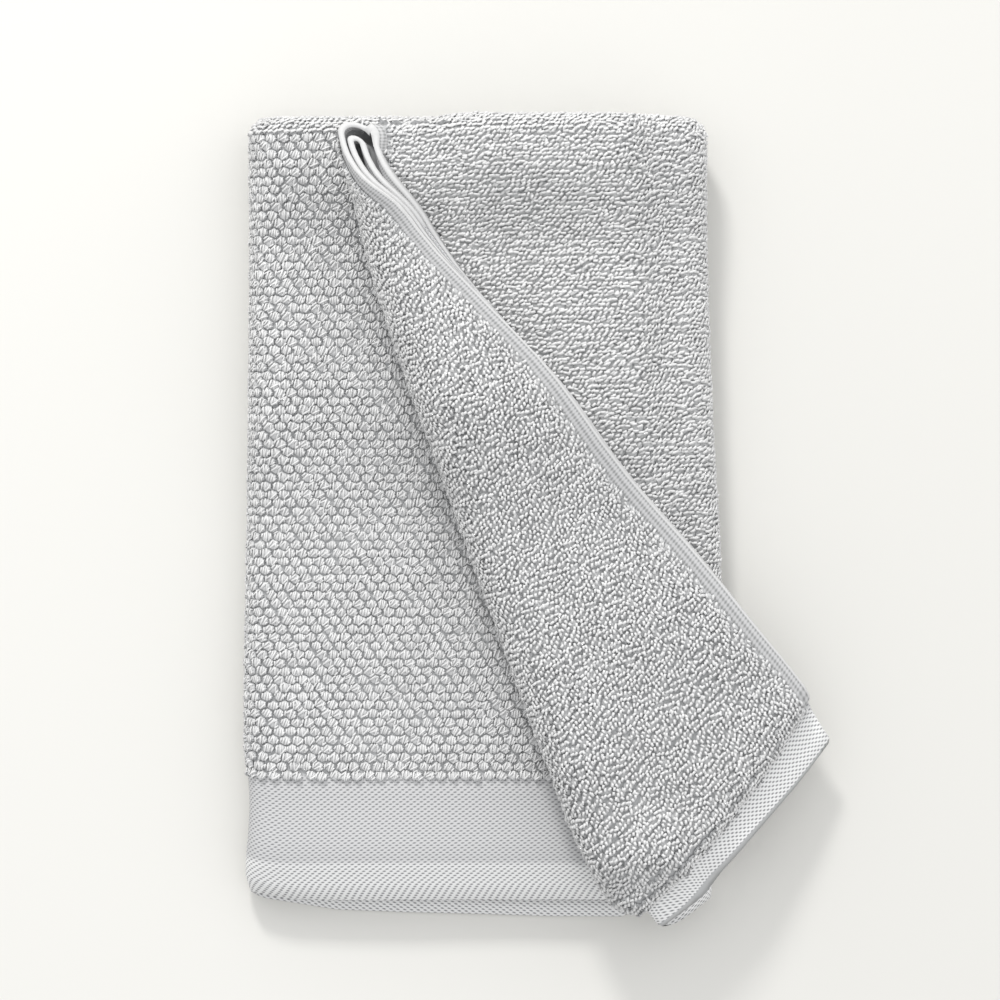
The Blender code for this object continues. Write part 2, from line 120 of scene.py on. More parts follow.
EndRow = namedtuple("EndRow", "across shift")
END_ROWS = [
    EndRow(0.150, -0.0052),
    EndRow(0.205, -0.0052),
    EndRow(0.235, -0.0006),
    EndRow(0.248, -0.0046),
    EndRow(0.262, -0.0095),
    EndRow(0.292, -0.0123),
    EndRow(0.322, -0.0138),
    EndRow(0.475, -0.0135),
    EndRow(0.505, 0.002),
    EndRow(0.535, 0.003),
    EndRow(0.560, -0.008),
    EndRow(0.590, -0.008),
    EndRow(0.620, -0.0095),
    EndRow(0.660, -0.011),
    EndRow(0.760, -0.011),
]

DragRow = namedtuple("DragRow", "across share")
DRAG_ROWS = [
    DragRow(0.400, 0.00),
    DragRow(0.480, 0.30),
    DragRow(0.575, 1.10),
    DragRow(0.600, 1.22),
    DragRow(0.660, 0.95),
    DragRow(0.720, 0.57),
    DragRow(0.760, 0.18),
]

CreaseRow = namedtuple("CreaseRow", "along outline inner_radius")
CREASE_ROWS = [
    CreaseRow(0.000, 0.0165, 0.0010),
    CreaseRow(0.017, 0.0190, 0.0014),
    CreaseRow(0.088, 0.0246, 0.0036),
    CreaseRow(0.150, 0.0259, 0.0045),
    CreaseRow(0.207, 0.0261, 0.0052),
    CreaseRow(0.292, 0.0244, 0.0050),
    CreaseRow(0.397, 0.0229, 0.0042),
    CreaseRow(0.444, 0.0211, 0.0032),
    CreaseRow(0.485, 0.0140, 0.0015),
    CreaseRow(0.500, 0.0040, 0.0008),
]

SlackRow = namedtuple("SlackRow", "y outer_ply inner_ply")
SLACK_ROWS = [
    SlackRow(-0.2260, 0.014, 0.012),
    SlackRow(-0.1900, -0.005, 0.000),
    SlackRow(-0.1200, -0.013, -0.009),
    SlackRow(-0.0500, -0.012, -0.008),
    SlackRow(0.0200, -0.005, 0.000),
    SlackRow(0.0700, 0.003, 0.009),
    SlackRow(0.1100, 0.009, 0.018),
    SlackRow(0.1500, 0.013, 0.029),
    SlackRow(0.1900, 0.021, 0.049),
    SlackRow(0.2325, 0.027, 0.059),
]

PLY_ROWS_Y = [-0.100, -0.050, 0.000, 0.035, 0.070, 0.100, 0.135, 0.157, 0.175, 0.192, 0.207]
OUTER_TURN_STEPS = 6
TERRY_TURN_STEPS = 5
INNER_TURN_STEPS = 4
PANEL_STEPS = 3
LEFT_FOLD_LEAD = 0.020
SIDE_TURN_STEPS = 6
RISE_STEPS = 3
RISE_TO_CREASE_STEPS = 2
CREASE_TURN_STEPS = 6
ROLL_RUNS = [0.018, 0.042, 0.072, 0.105, 0.140]
FLAP_STEPS = 8
HALVINGS = 24
FINER = 2

GAP_START = 0.1
GAP_END = 0.9
END_WALL = 0.0001
GROUND, DOBBY, SELVEDGE = 0, 1, 2


def smooth(value, start, end):
    share = min(max((value - start) / (end - start), 0.0), 1.0)
    return share * share * (3.0 - 2.0 * share)


def mix(first, second, share):
    return first + (second - first) * share


def from_table(rows, column, at):
    """A column's value at a place along the table's first column, on a smooth curve."""
    places = [row[0] for row in rows]
    values = [getattr(row, column) for row in rows]
    if at <= places[0]:
        return values[0]
    if at >= places[-1]:
        return values[-1]
    low = bisect.bisect_right(places, at) - 1
    slopes = []
    for k in (low, low + 1):
        before = max(k - 1, 0)
        after = min(k + 1, len(rows) - 1)
        slopes.append((values[after] - values[before]) / (places[after] - places[before]))
    span = places[low + 1] - places[low]
    t = (at - places[low]) / span
    rise = t * t * (3.0 - 2.0 * t)
    start_pull = t * (1.0 - t) * (1.0 - t) * span * slopes[0]
    end_pull = t * t * (t - 1.0) * span * slopes[1]
    return mix(values[low], values[low + 1], rise) + start_pull + end_pull


def cloth_depth(u, v, terry):
    """Depth of the cloth, or of its ground weave where terry is the ground's depth."""
    from_end = min(v, CLOTH_LENGTH - v)
    from_side = min(u, CLOTH_WIDTH - u)
    edge = smooth(from_side, SELVEDGE_WIDTH, SELVEDGE_WIDTH + PILE_STEP)
    middle = mix(SELVEDGE_THICKNESS, terry, edge)
    border = mix(HEM_THICKNESS, BORDER_THICKNESS, smooth(from_end, HEM_WIDTH, HEM_WIDTH + PILE_STEP))
    return mix(border, middle, smooth(from_end, BORDER_WIDTH, BORDER_WIDTH + PILE_STEP))


def puff(y):
    """How far the plies spread apart near the folded top edge, from 0 to 1."""
    return smooth(y, TOP_Y - TOP_PUFF_START, TOP_Y - TOP_PUFF_END)


def outer_ply(y):
    """Depth of the outer ply, from the hem at its end to the terry."""
    return mix(HEM_THICKNESS, TERRY_THICKNESS, smooth(y, BORDER_TOP_Y - OUTER_PLY_RAMP, BORDER_TOP_Y))


def short_ply_level(y):
    return outer_ply(y) + AIR + TERRY_THICKNESS / 2 + TOP_PUFF_OUTSIDE * puff(y)


def return_ply_level(y):
    pitch = TERRY_THICKNESS + AIR
    over_short_ply = smooth(y, SHORT_END_Y - DROP_LENGTH, SHORT_END_Y)
    return outer_ply(y) + AIR + TERRY_THICKNESS / 2 + pitch * over_short_ply + TOP_PUFF * puff(y)


def inner_ply_level(y):
    terry_puff = TERRY_PUFF * (1.0 - smooth(y, TERRY_TURN_Y, TERRY_TURN_Y + TERRY_PUFF_LENGTH))
    return return_ply_level(y) + TERRY_THICKNESS + AIR + terry_puff


def stack(y):
    """Height of all the plies together."""
    terry_end = TERRY_FOLD_Y - TERRY_FOLD_LIP
    full = inner_ply_level(max(y, terry_end)) + TERRY_THICKNESS / 2
    return mix(END_STACK, full, smooth(y, OUTER_END_Y, terry_end))


OUTER_TURN_RADIUS = (3 * (TERRY_THICKNESS + AIR) + TOP_PUFF) / 2
TERRY_TURN_RADIUS = (TERRY_THICKNESS + AIR + TERRY_PUFF) / 2
INNER_TURN_RADIUS = (TERRY_THICKNESS + AIR + TOP_PUFF - TOP_PUFF_OUTSIDE) / 2
OUTER_TURN_Y = TOP_Y - TERRY_THICKNESS / 2 - OUTER_TURN_RADIUS
TERRY_TURN_Y = TERRY_FOLD_Y + TERRY_THICKNESS / 2 + TERRY_TURN_RADIUS
INNER_TURN_Y = INNER_FOLD_Y - TERRY_THICKNESS / 2 - INNER_TURN_RADIUS
OUTER_RUN_END = OUTER_TURN_Y - OUTER_END_Y
INNER_RUN_START = OUTER_RUN_END + math.pi * OUTER_TURN_RADIUS
INNER_RUN_END = INNER_RUN_START + OUTER_TURN_Y - TERRY_TURN_Y
RETURN_RUN_START = INNER_RUN_END + math.pi * TERRY_TURN_RADIUS
RETURN_RUN_END = RETURN_RUN_START + INNER_TURN_Y - TERRY_TURN_Y
SHORT_RUN_START = RETURN_RUN_END + math.pi * INNER_TURN_RADIUS
SHORT_END_Y = INNER_TURN_Y - (CLOTH_LENGTH - SHORT_RUN_START)


def half_turn(y, level, radius, angle, offset):
    reach = radius - offset
    return y + reach * math.sin(angle), level - reach * math.cos(angle)


def section(u, v, side):
    """Place along the towel and height in the stack. side is 0 outside, 1 inside."""
    offset = (side - 0.5) * cloth_depth(u, v, GROUND_THICKNESS)
    if v <= OUTER_RUN_END:
        return OUTER_END_Y + v, cloth_depth(u, v, TERRY_THICKNESS) / 2 + offset
    if v < INNER_RUN_START:
        angle = (v - OUTER_RUN_END) / OUTER_TURN_RADIUS
        middle = TERRY_THICKNESS / 2 + OUTER_TURN_RADIUS
        return half_turn(OUTER_TURN_Y, middle, OUTER_TURN_RADIUS, angle, offset)
    if v <= INNER_RUN_END:
        y = OUTER_TURN_Y - (v - INNER_RUN_START)
        return y, inner_ply_level(y) - offset
    if v < RETURN_RUN_START:
        angle = math.pi - (v - INNER_RUN_END) / TERRY_TURN_RADIUS
        middle = inner_ply_level(TERRY_TURN_Y) - TERRY_TURN_RADIUS
        y, level = half_turn(0.0, middle, TERRY_TURN_RADIUS, angle, offset)
        return TERRY_TURN_Y - y, level
    if v <= RETURN_RUN_END:
        y = TERRY_TURN_Y + v - RETURN_RUN_START
        return y, return_ply_level(y) + offset
    if v < SHORT_RUN_START:
        angle = math.pi - (v - RETURN_RUN_END) / INNER_TURN_RADIUS
        middle = return_ply_level(INNER_TURN_Y) - INNER_TURN_RADIUS
        return half_turn(INNER_TURN_Y, middle, INNER_TURN_RADIUS, angle, -offset)
    y = INNER_TURN_Y - (v - SHORT_RUN_START)
    return y, short_ply_level(y) - offset


def drag(u, y):
    """How far the turned corner pulls the cloth down along the towel."""
    near_end = 1.0 - smooth(y, TERRY_FOLD_Y, DRAG_TOP_Y)
    at_end = CREASE_DRAG * from_table(DRAG_ROWS, "share", u) * near_end
    across = smooth(u, TOP_DRAG_START[0], TOP_DRAG_END[0])
    return at_end + TOP_DRAG * across * smooth(y, TOP_DRAG_START[1], TOP_DRAG_END[1])


def end_shift(u, y):
    """How far the free end lies off a straight line."""
    fade = 1.0 - smooth(y, OUTER_END_Y, OUTER_END_Y + END_SHIFT_LENGTH)
    return from_table(END_ROWS, "shift", u) * fade


def left_fold(y):
    radius = stack(y) + LEFT_INNER_RADIUS
    return from_table(SIDE_ROWS, "left", y) + radius, radius


def right_fold(y, plies):
    radius = plies + RIGHT_INNER_RADIUS
    return from_table(SIDE_ROWS, "right", y) - radius, radius


def top_of_left_panel(y):
    return 2 * stack(y) + PANEL_AIR


def highest_right_panel(y, plies):
    over_left_panel = top_of_left_panel(y) + PANEL_AIR + plies
    return max(over_left_panel, 2 * (plies + RIGHT_INNER_RADIUS))


def top_of_right_panel(x, y, plies):
    fold_x, fold_radius = right_fold(y, plies)
    return mix(2 * fold_radius, highest_right_panel(y, plies), smooth(fold_x - x, 0.0, RIGHT_RISE_LENGTH))


def plies_under(x, y):
    fold_x, fold_radius = right_fold(y, stack(y))
    panel_u = min(BOTTOM_MIDDLE + 2 * fold_x + math.pi * fold_radius - min(x, fold_x), CLOTH_WIDTH)
    return stack(y + drag(panel_u, y) - end_shift(panel_u, y))


def crease_at(x, y):
    """Distance down the crease and past it, its hollow's radius and its axis shift."""
    from_top = (x - CREASE_TOP[0], y - CREASE_TOP[1])
    along = from_top[0] * CREASE_DOWN[0] + from_top[1] * CREASE_DOWN[1]
    past_line = from_top[0] * CREASE_OUT[0] + from_top[1] * CREASE_OUT[1]
    axis_y = CREASE_TOP[1] + along * CREASE_DOWN[1]
    plies = stack(axis_y + drag(DRAG_PEAK, axis_y) - end_shift(DRAG_PEAK, axis_y))
    inner_radius = from_table(CREASE_ROWS, "inner_radius", along)
    shift = from_table(CREASE_ROWS, "outline", along) - inner_radius - plies
    return along, past_line - shift, inner_radius, shift


def turn_corner(x, y, height, plies):
    """Right panel to turned corner: around the crease, then flat on the panel."""
    along, turned, inner_radius, shift = crease_at(x, y)
    if turned <= 0.0:
        return x, y, top_of_right_panel(x, y, plies) - height
    axis_x = CREASE_TOP[0] + along * CREASE_DOWN[0] + shift * CREASE_OUT[0]
    axis_y = CREASE_TOP[1] + along * CREASE_DOWN[1] + shift * CREASE_OUT[1]
    radius = inner_radius + PANEL_AIR / 2 + height
    angle = turned / radius
    if angle < math.pi:
        panel_top = highest_right_panel(axis_y, plies_under(axis_x, axis_y))
        reach = radius * math.sin(angle)
        z = panel_top + inner_radius + PANEL_AIR / 2 - radius * math.cos(angle)
        return axis_x + CREASE_OUT[0] * reach, axis_y + CREASE_OUT[1] * reach, z
    run = turned - math.pi * radius
    x = axis_x - CREASE_OUT[0] * run
    y = axis_y - CREASE_OUT[1] * run
    under = plies_under(x, y)
    fold_x = right_fold(y, under)[0]
    roll = 2 * inner_radius * (1.0 - smooth(run, 0.0, ROLL_LENGTH))
    bed = highest_right_panel(y, under) + PANEL_AIR + roll
    bend_x = fold_x + OVERHANG_START
    bend = (x - bend_x) / OVERHANG_RADIUS
    if bend <= 0.0:
        return x, y, bed + height
    reach = OVERHANG_RADIUS + height
    return bend_x + reach * math.sin(bend), y, bed - OVERHANG_RADIUS + reach * math.cos(bend)


def folded_plies(u, y, height):
    """Where a place comes to lie along the towel when pulled, and the plies' height there."""
    pulled = drag(u, y)
    in_gap = smooth(height, outer_ply(y) + GAP_START * AIR, outer_ply(y) + GAP_END * AIR)
    ply_share = mix(OUTER_PLY_DRAG, 1.0, in_gap)
    return y + end_shift(u, y) - pulled * ply_share, stack(y + pulled * (1.0 - ply_share))


def right_panel_x(u, y, height, fold_x, arc):
    run = u - BOTTOM_MIDDLE - fold_x - arc
    full_run = CLOTH_WIDTH - BOTTOM_MIDDLE - fold_x - arc
    outer_slack = from_table(SLACK_ROWS, "outer_ply", y)
    inner_slack = from_table(SLACK_ROWS, "inner_ply", y)
    slack = mix(outer_slack, inner_slack, min(height / stack(y), 1.0))
    return fold_x - run + slack * (run / full_run) ** SLACK_POWER


def place(u, y, height):
    """From the flat width, the place along the towel and the height in the stack."""
    walk = u - BOTTOM_MIDDLE
    y_here, plies = folded_plies(u, y, height)
    left_x, left_radius = left_fold(y)
    right_x, right_radius = right_fold(y_here, plies)
    if left_x <= walk <= right_x:
        return walk, y_here, height
    if walk < left_x:
        radius = left_radius - height
        run = left_x - walk - math.pi * radius
        if run < 0.0:
            angle = (left_x - walk) / radius
            return left_x - radius * math.sin(angle), y_here, left_radius - radius * math.cos(angle)
        full_run = left_x + BOTTOM_MIDDLE - math.pi * radius
        slip = LEFT_PANEL_SLIP * math.pi * height * run / full_run
        return left_x + run - slip, y_here, top_of_left_panel(y) - height
    radius = right_radius - height
    arc = math.pi * radius
    if walk - right_x < arc:
        angle = (walk - right_x) / radius
        return right_x + radius * math.sin(angle), y_here, right_radius - radius * math.cos(angle)
    x = right_panel_x(u, y, height, right_x, arc)
    return turn_corner(x, y_here, height, plies)


def fold_point(u, v, side):
    """One point of the flat cloth, folded. The top lies a little unevenly."""
    y, height = section(u, v, side)
    x, y, z = place(u, y, height)
    across = math.tau * x / WAVE_ACROSS + WAVE_PHASE
    along = math.tau * (y / WAVE_ALONG + x / WAVE_SLANT)
    return Vector((x, y, z * (1.0 + WAVE_SHARE * math.sin(across) * math.sin(along))))


def spread(start, end, steps):
    """Even places from start to end, without the start."""
    return [mix(start, end, k / steps) for k in range(1, steps + 1)]


def finer(places):
    """The same places with more between them."""
    found = [places[0]]
    for place_before, place_after in zip(places, places[1:]):
        found += spread(place_before, place_after, FINER)
    return found


def rows_along():
    """Places of the grid's rows along the flat cloth. The plies share their rows' y."""
    rows = [0.0, HEM_WIDTH, HEM_WIDTH + PILE_STEP]
    rows += [BORDER_WIDTH - OUTER_PLY_RAMP, BORDER_WIDTH, BORDER_WIDTH + PILE_STEP]
    rows += [y - OUTER_END_Y for y in PLY_ROWS_Y] + [OUTER_RUN_END]
    rows += spread(OUTER_RUN_END, INNER_RUN_START, OUTER_TURN_STEPS)
    plies_y = [BORDER_TOP_Y - OUTER_PLY_RAMP, BORDER_TOP_Y + PILE_STEP] + PLY_ROWS_Y
    rows += [INNER_RUN_START + OUTER_TURN_Y - y for y in reversed(plies_y)] + [INNER_RUN_END]
    rows += spread(INNER_RUN_END, RETURN_RUN_START, TERRY_TURN_STEPS)
    rows += [RETURN_RUN_START + y - TERRY_TURN_Y for y in plies_y] + [RETURN_RUN_END]
    rows += spread(RETURN_RUN_END, SHORT_RUN_START, INNER_TURN_STEPS)
    border_start = CLOTH_LENGTH - BORDER_WIDTH
    shared_rows = [SHORT_RUN_START + INNER_TURN_Y - y for y in reversed(PLY_ROWS_Y)]
    rows += [v for v in shared_rows if SHORT_RUN_START < v < border_start - PILE_STEP]
    rows += [border_start - PILE_STEP, border_start]
    rows += [CLOTH_LENGTH - HEM_WIDTH - PILE_STEP, CLOTH_LENGTH - HEM_WIDTH, CLOTH_LENGTH]
    return finer(rows)


def crease_over(u, y, height):
    """How far past the crease a place on the flat width comes to lie, and the hollow there."""
    y_here, plies = folded_plies(u, y, height)
    right_x, right_radius = right_fold(y_here, plies)
    x = right_panel_x(u, y, height, right_x, math.pi * (right_radius - height))
    return crease_at(x, y_here)[1:3]


def crease_place(target, u_start, y, height):
    """Where a ply comes to lie this far past the crease, found by halving."""
    low, high = u_start, CLOTH_WIDTH
    for _ in range(HALVINGS):
        middle = (low + high) / 2
        if crease_over(middle, y, height)[0] < target:
            low = middle
        else:
            high = middle
    return low


def columns_across(v):
    """Places of the grid's columns on one row: they follow the folds of that ply."""
    y, height = section(CLOTH_WIDTH / 2, v, 0.5)
    left_x, left_radius = left_fold(y)
    right_x, right_radius = right_fold(y, stack(y))
    left_end = BOTTOM_MIDDLE + left_x
    left_start = left_end - math.pi * (left_radius - height)
    right_start = BOTTOM_MIDDLE + right_x
    right_end = right_start + math.pi * (right_radius - height)
    columns = [0.0, SELVEDGE_WIDTH, SELVEDGE_WIDTH + PILE_STEP]
    columns += spread(columns[-1], left_start - LEFT_FOLD_LEAD, PANEL_STEPS) + [left_start]
    columns += spread(left_start, left_end, SIDE_TURN_STEPS)
    columns += spread(left_end, right_start, PANEL_STEPS)
    columns += spread(right_start, right_end, SIDE_TURN_STEPS)
    crease = crease_place(0.0, right_end, y, height)
    rise = min(RIGHT_RISE_LENGTH / RISE_STEPS, (crease - right_end) / (RISE_STEPS + RISE_TO_CREASE_STEPS))
    columns += [right_end + rise * k for k in range(1, RISE_STEPS + 1)]
    columns += spread(columns[-1], crease, RISE_TO_CREASE_STEPS)
    rest = crease_over(CLOTH_WIDTH, y, height)[0]
    radius = crease_over(crease, y, height)[1] + PANEL_AIR / 2 + height
    turned = min(math.pi * radius, rest * CREASE_TURN_STEPS / (CREASE_TURN_STEPS + FLAP_STEPS))
    rest -= turned
    strip = min(SELVEDGE_WIDTH, rest / FLAP_STEPS)
    runs = [min(run, rest * (k + 1) / FLAP_STEPS) for k, run in enumerate(ROLL_RUNS)]
    runs += spread(runs[-1], rest - strip, FLAP_STEPS - len(ROLL_RUNS) - 1)
    targets = spread(0.0, turned, CREASE_TURN_STEPS) + [turned + run for run in runs]
    columns += [crease_place(target, right_end, y, height) for target in targets]
    columns.append(CLOTH_WIDTH)
    return finer(columns)


def linear(hex_colour):
    """An sRGB hex colour as the linear values that a shader takes."""
    values = []
    for start in (0, 2, 4):
        share = int(hex_colour[start:start + 2], 16) / 255
        values.append(share / 12.92 if share <= 0.04045 else ((share + 0.055) / 1.055) ** 2.4)
    return (*values, 1.0)


def add_node(tree, kind, links=None, **settings):
    """A node with its settings, and links from an input's name or number to a socket or value."""
    node = tree.nodes.new(kind)
    for name, value in settings.items():
        setattr(node, name, value)
    for name, source in (links or {}).items():
        if isinstance(source, bpy.types.NodeSocket):
            tree.links.new(source, node.inputs[name])
        else:
            node.inputs[name].default_value = source
    return node


def new_material(name):
    material = bpy.data.materials.new(name)
    material.use_nodes = True
    return material, material.node_tree, material.node_tree.nodes["Principled BSDF"]


def calculate(tree, operation, *values):
    return add_node(tree, "ShaderNodeMath", dict(enumerate(values)), operation=operation).outputs[0]


def share_between(tree, value, start, end):
    """How far a value has come from start to end, from 0 to 1."""
    links = {"Value": value, "From Min": start, "From Max": end}
    return add_node(tree, "ShaderNodeMapRange", links).outputs[0]


def blend(tree, share, first, second):
    """A colour between two colours."""
    return add_node(tree, "ShaderNodeMix", {0: share, 6: first, 7: second}, data_type="RGBA").outputs[2]


def emboss(tree, shader, sunk, depth, strength):
    """Relief in a finish, this deep where it is sunk."""
    links = {"Height": sunk, "Distance": depth, "Strength": strength}
    bump = add_node(tree, "ShaderNodeBump", links, invert=True)
    tree.links.new(bump.outputs[0], shader.inputs["Normal"])


def flat_place(tree):
    """The place on the flat cloth, across it and along it."""
    flat = add_node(tree, "ShaderNodeUVMap", uv_map="flat")
    apart = add_node(tree, "ShaderNodeSeparateXYZ", {"Vector": flat.outputs["UV"]})
    return apart.outputs["X"], apart.outputs["Y"]


def flat_wave(tree, spot, waves_across, waves_along):
    """A wave over the flat cloth, with so many waves a metre across it and along it."""
    across = calculate(tree, "MULTIPLY", spot[0], math.tau * waves_across)
    along = calculate(tree, "MULTIPLY", spot[1], math.tau * waves_along)
    return calculate(tree, "COSINE", calculate(tree, "ADD", across, along))


def ground_weave():
    """Plain-woven cotton ground: it shows between the loops and on the cloth's end walls. Its grey is a
    little darker than the loops' tops: painted shade for the hollows between the loops.
    """
    material, _, shader = new_material("cotton_ground_weave")
    # The darker grey is painted shade, for the shade down between the loops.
    shader.inputs["Base Color"].default_value = linear("B4B5B6")
    shader.inputs["Roughness"].default_value = 0.95
    return material


FLOAT_HALF_PITCH = 0.00205
FLOAT_ROW_PITCH = 0.00135
FALLING_FLOAT_SHARE = 0.5
FLOAT_PICK_SHARE = 0.5
# The floats' dips get painted shade in their colour as well as real relief.
DIP_START = -0.2
DIP_END = 1.7
DIP_DEPTH = 0.0002
# The next two bound a paler band painted over each hem: painted light on the hem's ridge.
HEM_PAINTED_LIGHT_START = 0.005
HEM_PAINTED_LIGHT_END = 0.001


def dobby_weave():
    """Flat dobby-woven cotton: pale, with a small dash of painted shade where each slanting float dips."""
    material, tree, shader = new_material("cotton_dobby_border")
    spot = flat_place(tree)
    rising = flat_wave(tree, spot, 0.5 / FLOAT_HALF_PITCH, 0.5 / FLOAT_ROW_PITCH)
    falling = flat_wave(tree, spot, 0.5 / FLOAT_HALF_PITCH, -0.5 / FLOAT_ROW_PITCH)
    picks = flat_wave(tree, spot, 0.0, 1.0 / FLOAT_ROW_PITCH)
    both_floats = calculate(tree, "ADD", rising, calculate(tree, "MULTIPLY", falling, FALLING_FLOAT_SHARE))
    all_threads = calculate(tree, "ADD", both_floats, calculate(tree, "MULTIPLY", picks, FLOAT_PICK_SHARE))
    # Painted shade: the dips are coloured dark, as well as sunk.
    dip_with_painted_shade = share_between(tree, all_threads, DIP_START, DIP_END)
    from_end = calculate(tree, "PINGPONG", spot[1], CLOTH_LENGTH / 2)
    # Painted light: the hem is painted paler than the border, for the light on its ridge.
    hem = share_between(tree, from_end, HEM_WIDTH + HEM_PAINTED_LIGHT_START, HEM_WIDTH + HEM_PAINTED_LIGHT_END)
    pale = blend(tree, hem, linear("C6C6C7"), linear("EAEAEA"))
    tree.links.new(blend(tree, dip_with_painted_shade, pale, linear("7C7D7F")), shader.inputs["Base Color"])
    emboss(tree, shader, dip_with_painted_shade, DIP_DEPTH, strength=0.5)
    shader.inputs["Roughness"].default_value = 0.85
    return material


# The selvedge's threads are too fine to show from above, so they are drawn coarser.
RIBS_A_METRE = 290.0
PICKS_A_METRE = 520.0
PICK_SHARE = 0.9
# The grooves between the ribs are darkened with painted shade, and sunk as real relief.
RIB_GROOVE_START = -0.7
RIB_GROOVE_END = 1.5
RIB_GROOVE_DEPTH = 0.0003
RIM_START = 0.0014
RIM_END = 0.0008


def selvedge_weave():
    """Firm plain-woven selvedge: grey ribs along it, crossed by threads, with painted shade darkening the
    grooves, and a paler rim.
    """
    material, tree, shader = new_material("cotton_selvedge_tape")
    spot = flat_place(tree)
    ribs = flat_wave(tree, spot, RIBS_A_METRE, 0.0)
    picks = flat_wave(tree, spot, 0.0, PICKS_A_METRE)
    crossed = calculate(tree, "ADD", ribs, calculate(tree, "MULTIPLY", picks, PICK_SHARE))
    # Painted shade: the grooves are coloured darker grey, as well as sunk.
    groove_with_painted_shade = share_between(tree, crossed, RIB_GROOVE_START, RIB_GROOVE_END)
    grey = blend(tree, groove_with_painted_shade, linear("BEBEBF"), linear("8E8F8F"))
    from_side = calculate(tree, "PINGPONG", spot[0], CLOTH_WIDTH / 2)
    rim = share_between(tree, from_side, RIM_START, RIM_END)
    tree.links.new(blend(tree, rim, grey, linear("C8C8C8")), shader.inputs["Base Color"])
    emboss(tree, shader, groove_with_painted_shade, RIB_GROOVE_DEPTH, strength=0.4)
    shader.inputs["Roughness"].default_value = 0.9
    return material


rows = rows_along()
grid = [columns_across(v) for v in rows]
column_count = len(grid[0])
cloth = bmesh.new()
bmesh.ops.create_grid(cloth, x_segments=column_count - 1, y_segments=len(rows) - 1, size=1.0)
for vertex in cloth.verts:
    column = round((vertex.co.x + 1.0) / 2.0 * (column_count - 1))
    row = round((vertex.co.y + 1.0) / 2.0 * (len(rows) - 1))
    vertex.co = (grid[row][column], rows[row], 0.0)
raised = bmesh.ops.extrude_face_region(cloth, geom=cloth.faces[:], use_keep_orig=True)
for element in raised["geom"]:
    if isinstance(element, bmesh.types.BMVert):
        element.co.z = 1.0
flat_map = cloth.loops.layers.uv.new("flat")
for face in cloth.faces:
    middle = face.calc_center_median()
    from_end = min(middle.y, CLOTH_LENGTH - middle.y)
    from_side = min(middle.x, CLOTH_WIDTH - middle.x)
    face.material_index = GROUND
    if END_WALL < from_end < BORDER_WIDTH + PILE_STEP / 2:
        face.material_index = DOBBY
    elif from_side < SELVEDGE_WIDTH + PILE_STEP / 2:
        face.material_index = SELVEDGE
    face.smooth = True
    for corner in face.loops:
        corner[flat_map].uv = corner.vert.co.xy
for vertex in cloth.verts:
    vertex.co = fold_point(vertex.co.x, vertex.co.y, vertex.co.z)
bmesh.ops.recalc_face_normals(cloth, faces=cloth.faces[:])
towel_cloth = bpy.data.objects.new("towel_cloth", bpy.data.meshes.new("towel_cloth"))
cloth.to_mesh(towel_cloth.data)
cloth_tree = BVHTree.FromBMesh(cloth)
cloth.free()
for material in (ground_weave(), dobby_weave(), selvedge_weave()):
    towel_cloth.data.materials.append(material)
bpy.context.scene.collection.objects.link(towel_cloth)
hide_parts("towel")
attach(towel_cloth, "root")

# The pile
# Loops of soft cotton yarn stand up from the ground weave in small tufts, laid like
# bricks. Each tuft is a low bun of yarn with short arches of it lying over the top.
# The arches are fewer and thicker than real loops, to keep the number of faces down.
TUFT_PITCH = 0.0071
TUFT_ROW_PITCH = 0.0050
BUN_SIDES = 6
BUN_SHOULDER = 0.84
BUN_SHOULDER_RISE = 0.8
LOOP_SIDES = 3
LOOP_STEPS = 3
LOOP_RISE = 0.0023
EDGE_LOOP_RISE = 0.75
LOOP_FULLNESS = 0.6
LOOP_SPREAD = 1.05
LOOP_ASIDE_JITTER = 0.06
LOOP_REACH_RANGE = (0.88, 1.12)
LOOP_RISE_RANGE = (0.9, 1.12)
LOOP_SCATTER_RANGE = (0.6, 1.2)
TUFT_WIDTH_RANGE = (0.94, 1.1)
TUFT_LENGTH_RANGE = (0.96, 1.12)
TUFT_HEIGHT_RANGE = (0.88, 1.1)
SHADE_SPREAD = 0.05
TIP_SHADE_START = 0.15
TIP_SHADE_END = 0.95
ROW_PROBE = 0.0002
BORDER_OVERHANG = 0.0012
EDGE_SHARE = 0.40
HIDDEN_REACH = 0.012
NEARBY = 0.0015
UNDERSIDE_SQUASH = 0.35
UNDERSIDE_START = 0.1
UNDERSIDE_FULL = 0.9
TOP_FOLD_REACH = 0.006
FLAP_SHARE = 0.64
RANDOM_SEED = 11

# yarn is the yarn's radius. bun, scatter and reach are the bun's size, the loops' distance
# off the row's line and their half length, each against the tuft's outline.
# slant, slant_spread and turn are in degrees, and shade multiplies the colour: it is painted
# shade, lower for kinds whose loops lie open and show more of their shaded sides.
TuftKind = namedtuple(
    "TuftKind",
    "name count loops half_width half_length yarn bun bun_rise scatter reach"
    " slant slant_spread curl jitter turn shade",
)
UPRIGHT = TuftKind(
    name="upright_tuft",
    count=9,
    loops=5,
    half_width=0.0034,
    half_length=0.0031,
    yarn=0.00056,
    bun=1.0,
    bun_rise=0.0016,
    scatter=0.0,
    reach=0.96,
    slant=62,
    slant_spread=30,
    curl=0.0010,
    jitter=0.0004,
    turn=14,
    shade=1.00,
)
SLANTING = UPRIGHT._replace(
    name="slanting_tuft",
    count=12,
    half_width=0.0036,
    yarn=0.00086,
    bun=1.1,
    bun_rise=0.0011,
    scatter=0.5,
    reach=0.52,
    slant=30,
    curl=0.0007,
    shade=0.94,
)
CURLY = SLANTING._replace(
    name="curly_tuft",
    loops=6,
    yarn=0.00084,
    scatter=0.55,
    reach=0.42,
    slant=42,
    slant_spread=44,
    curl=0.0005,
    turn=30,
    shade=0.95,
)
PLAIN = UPRIGHT._replace(name="plain_tuft", count=3, loops=1, slant_spread=20, curl=0.0007)


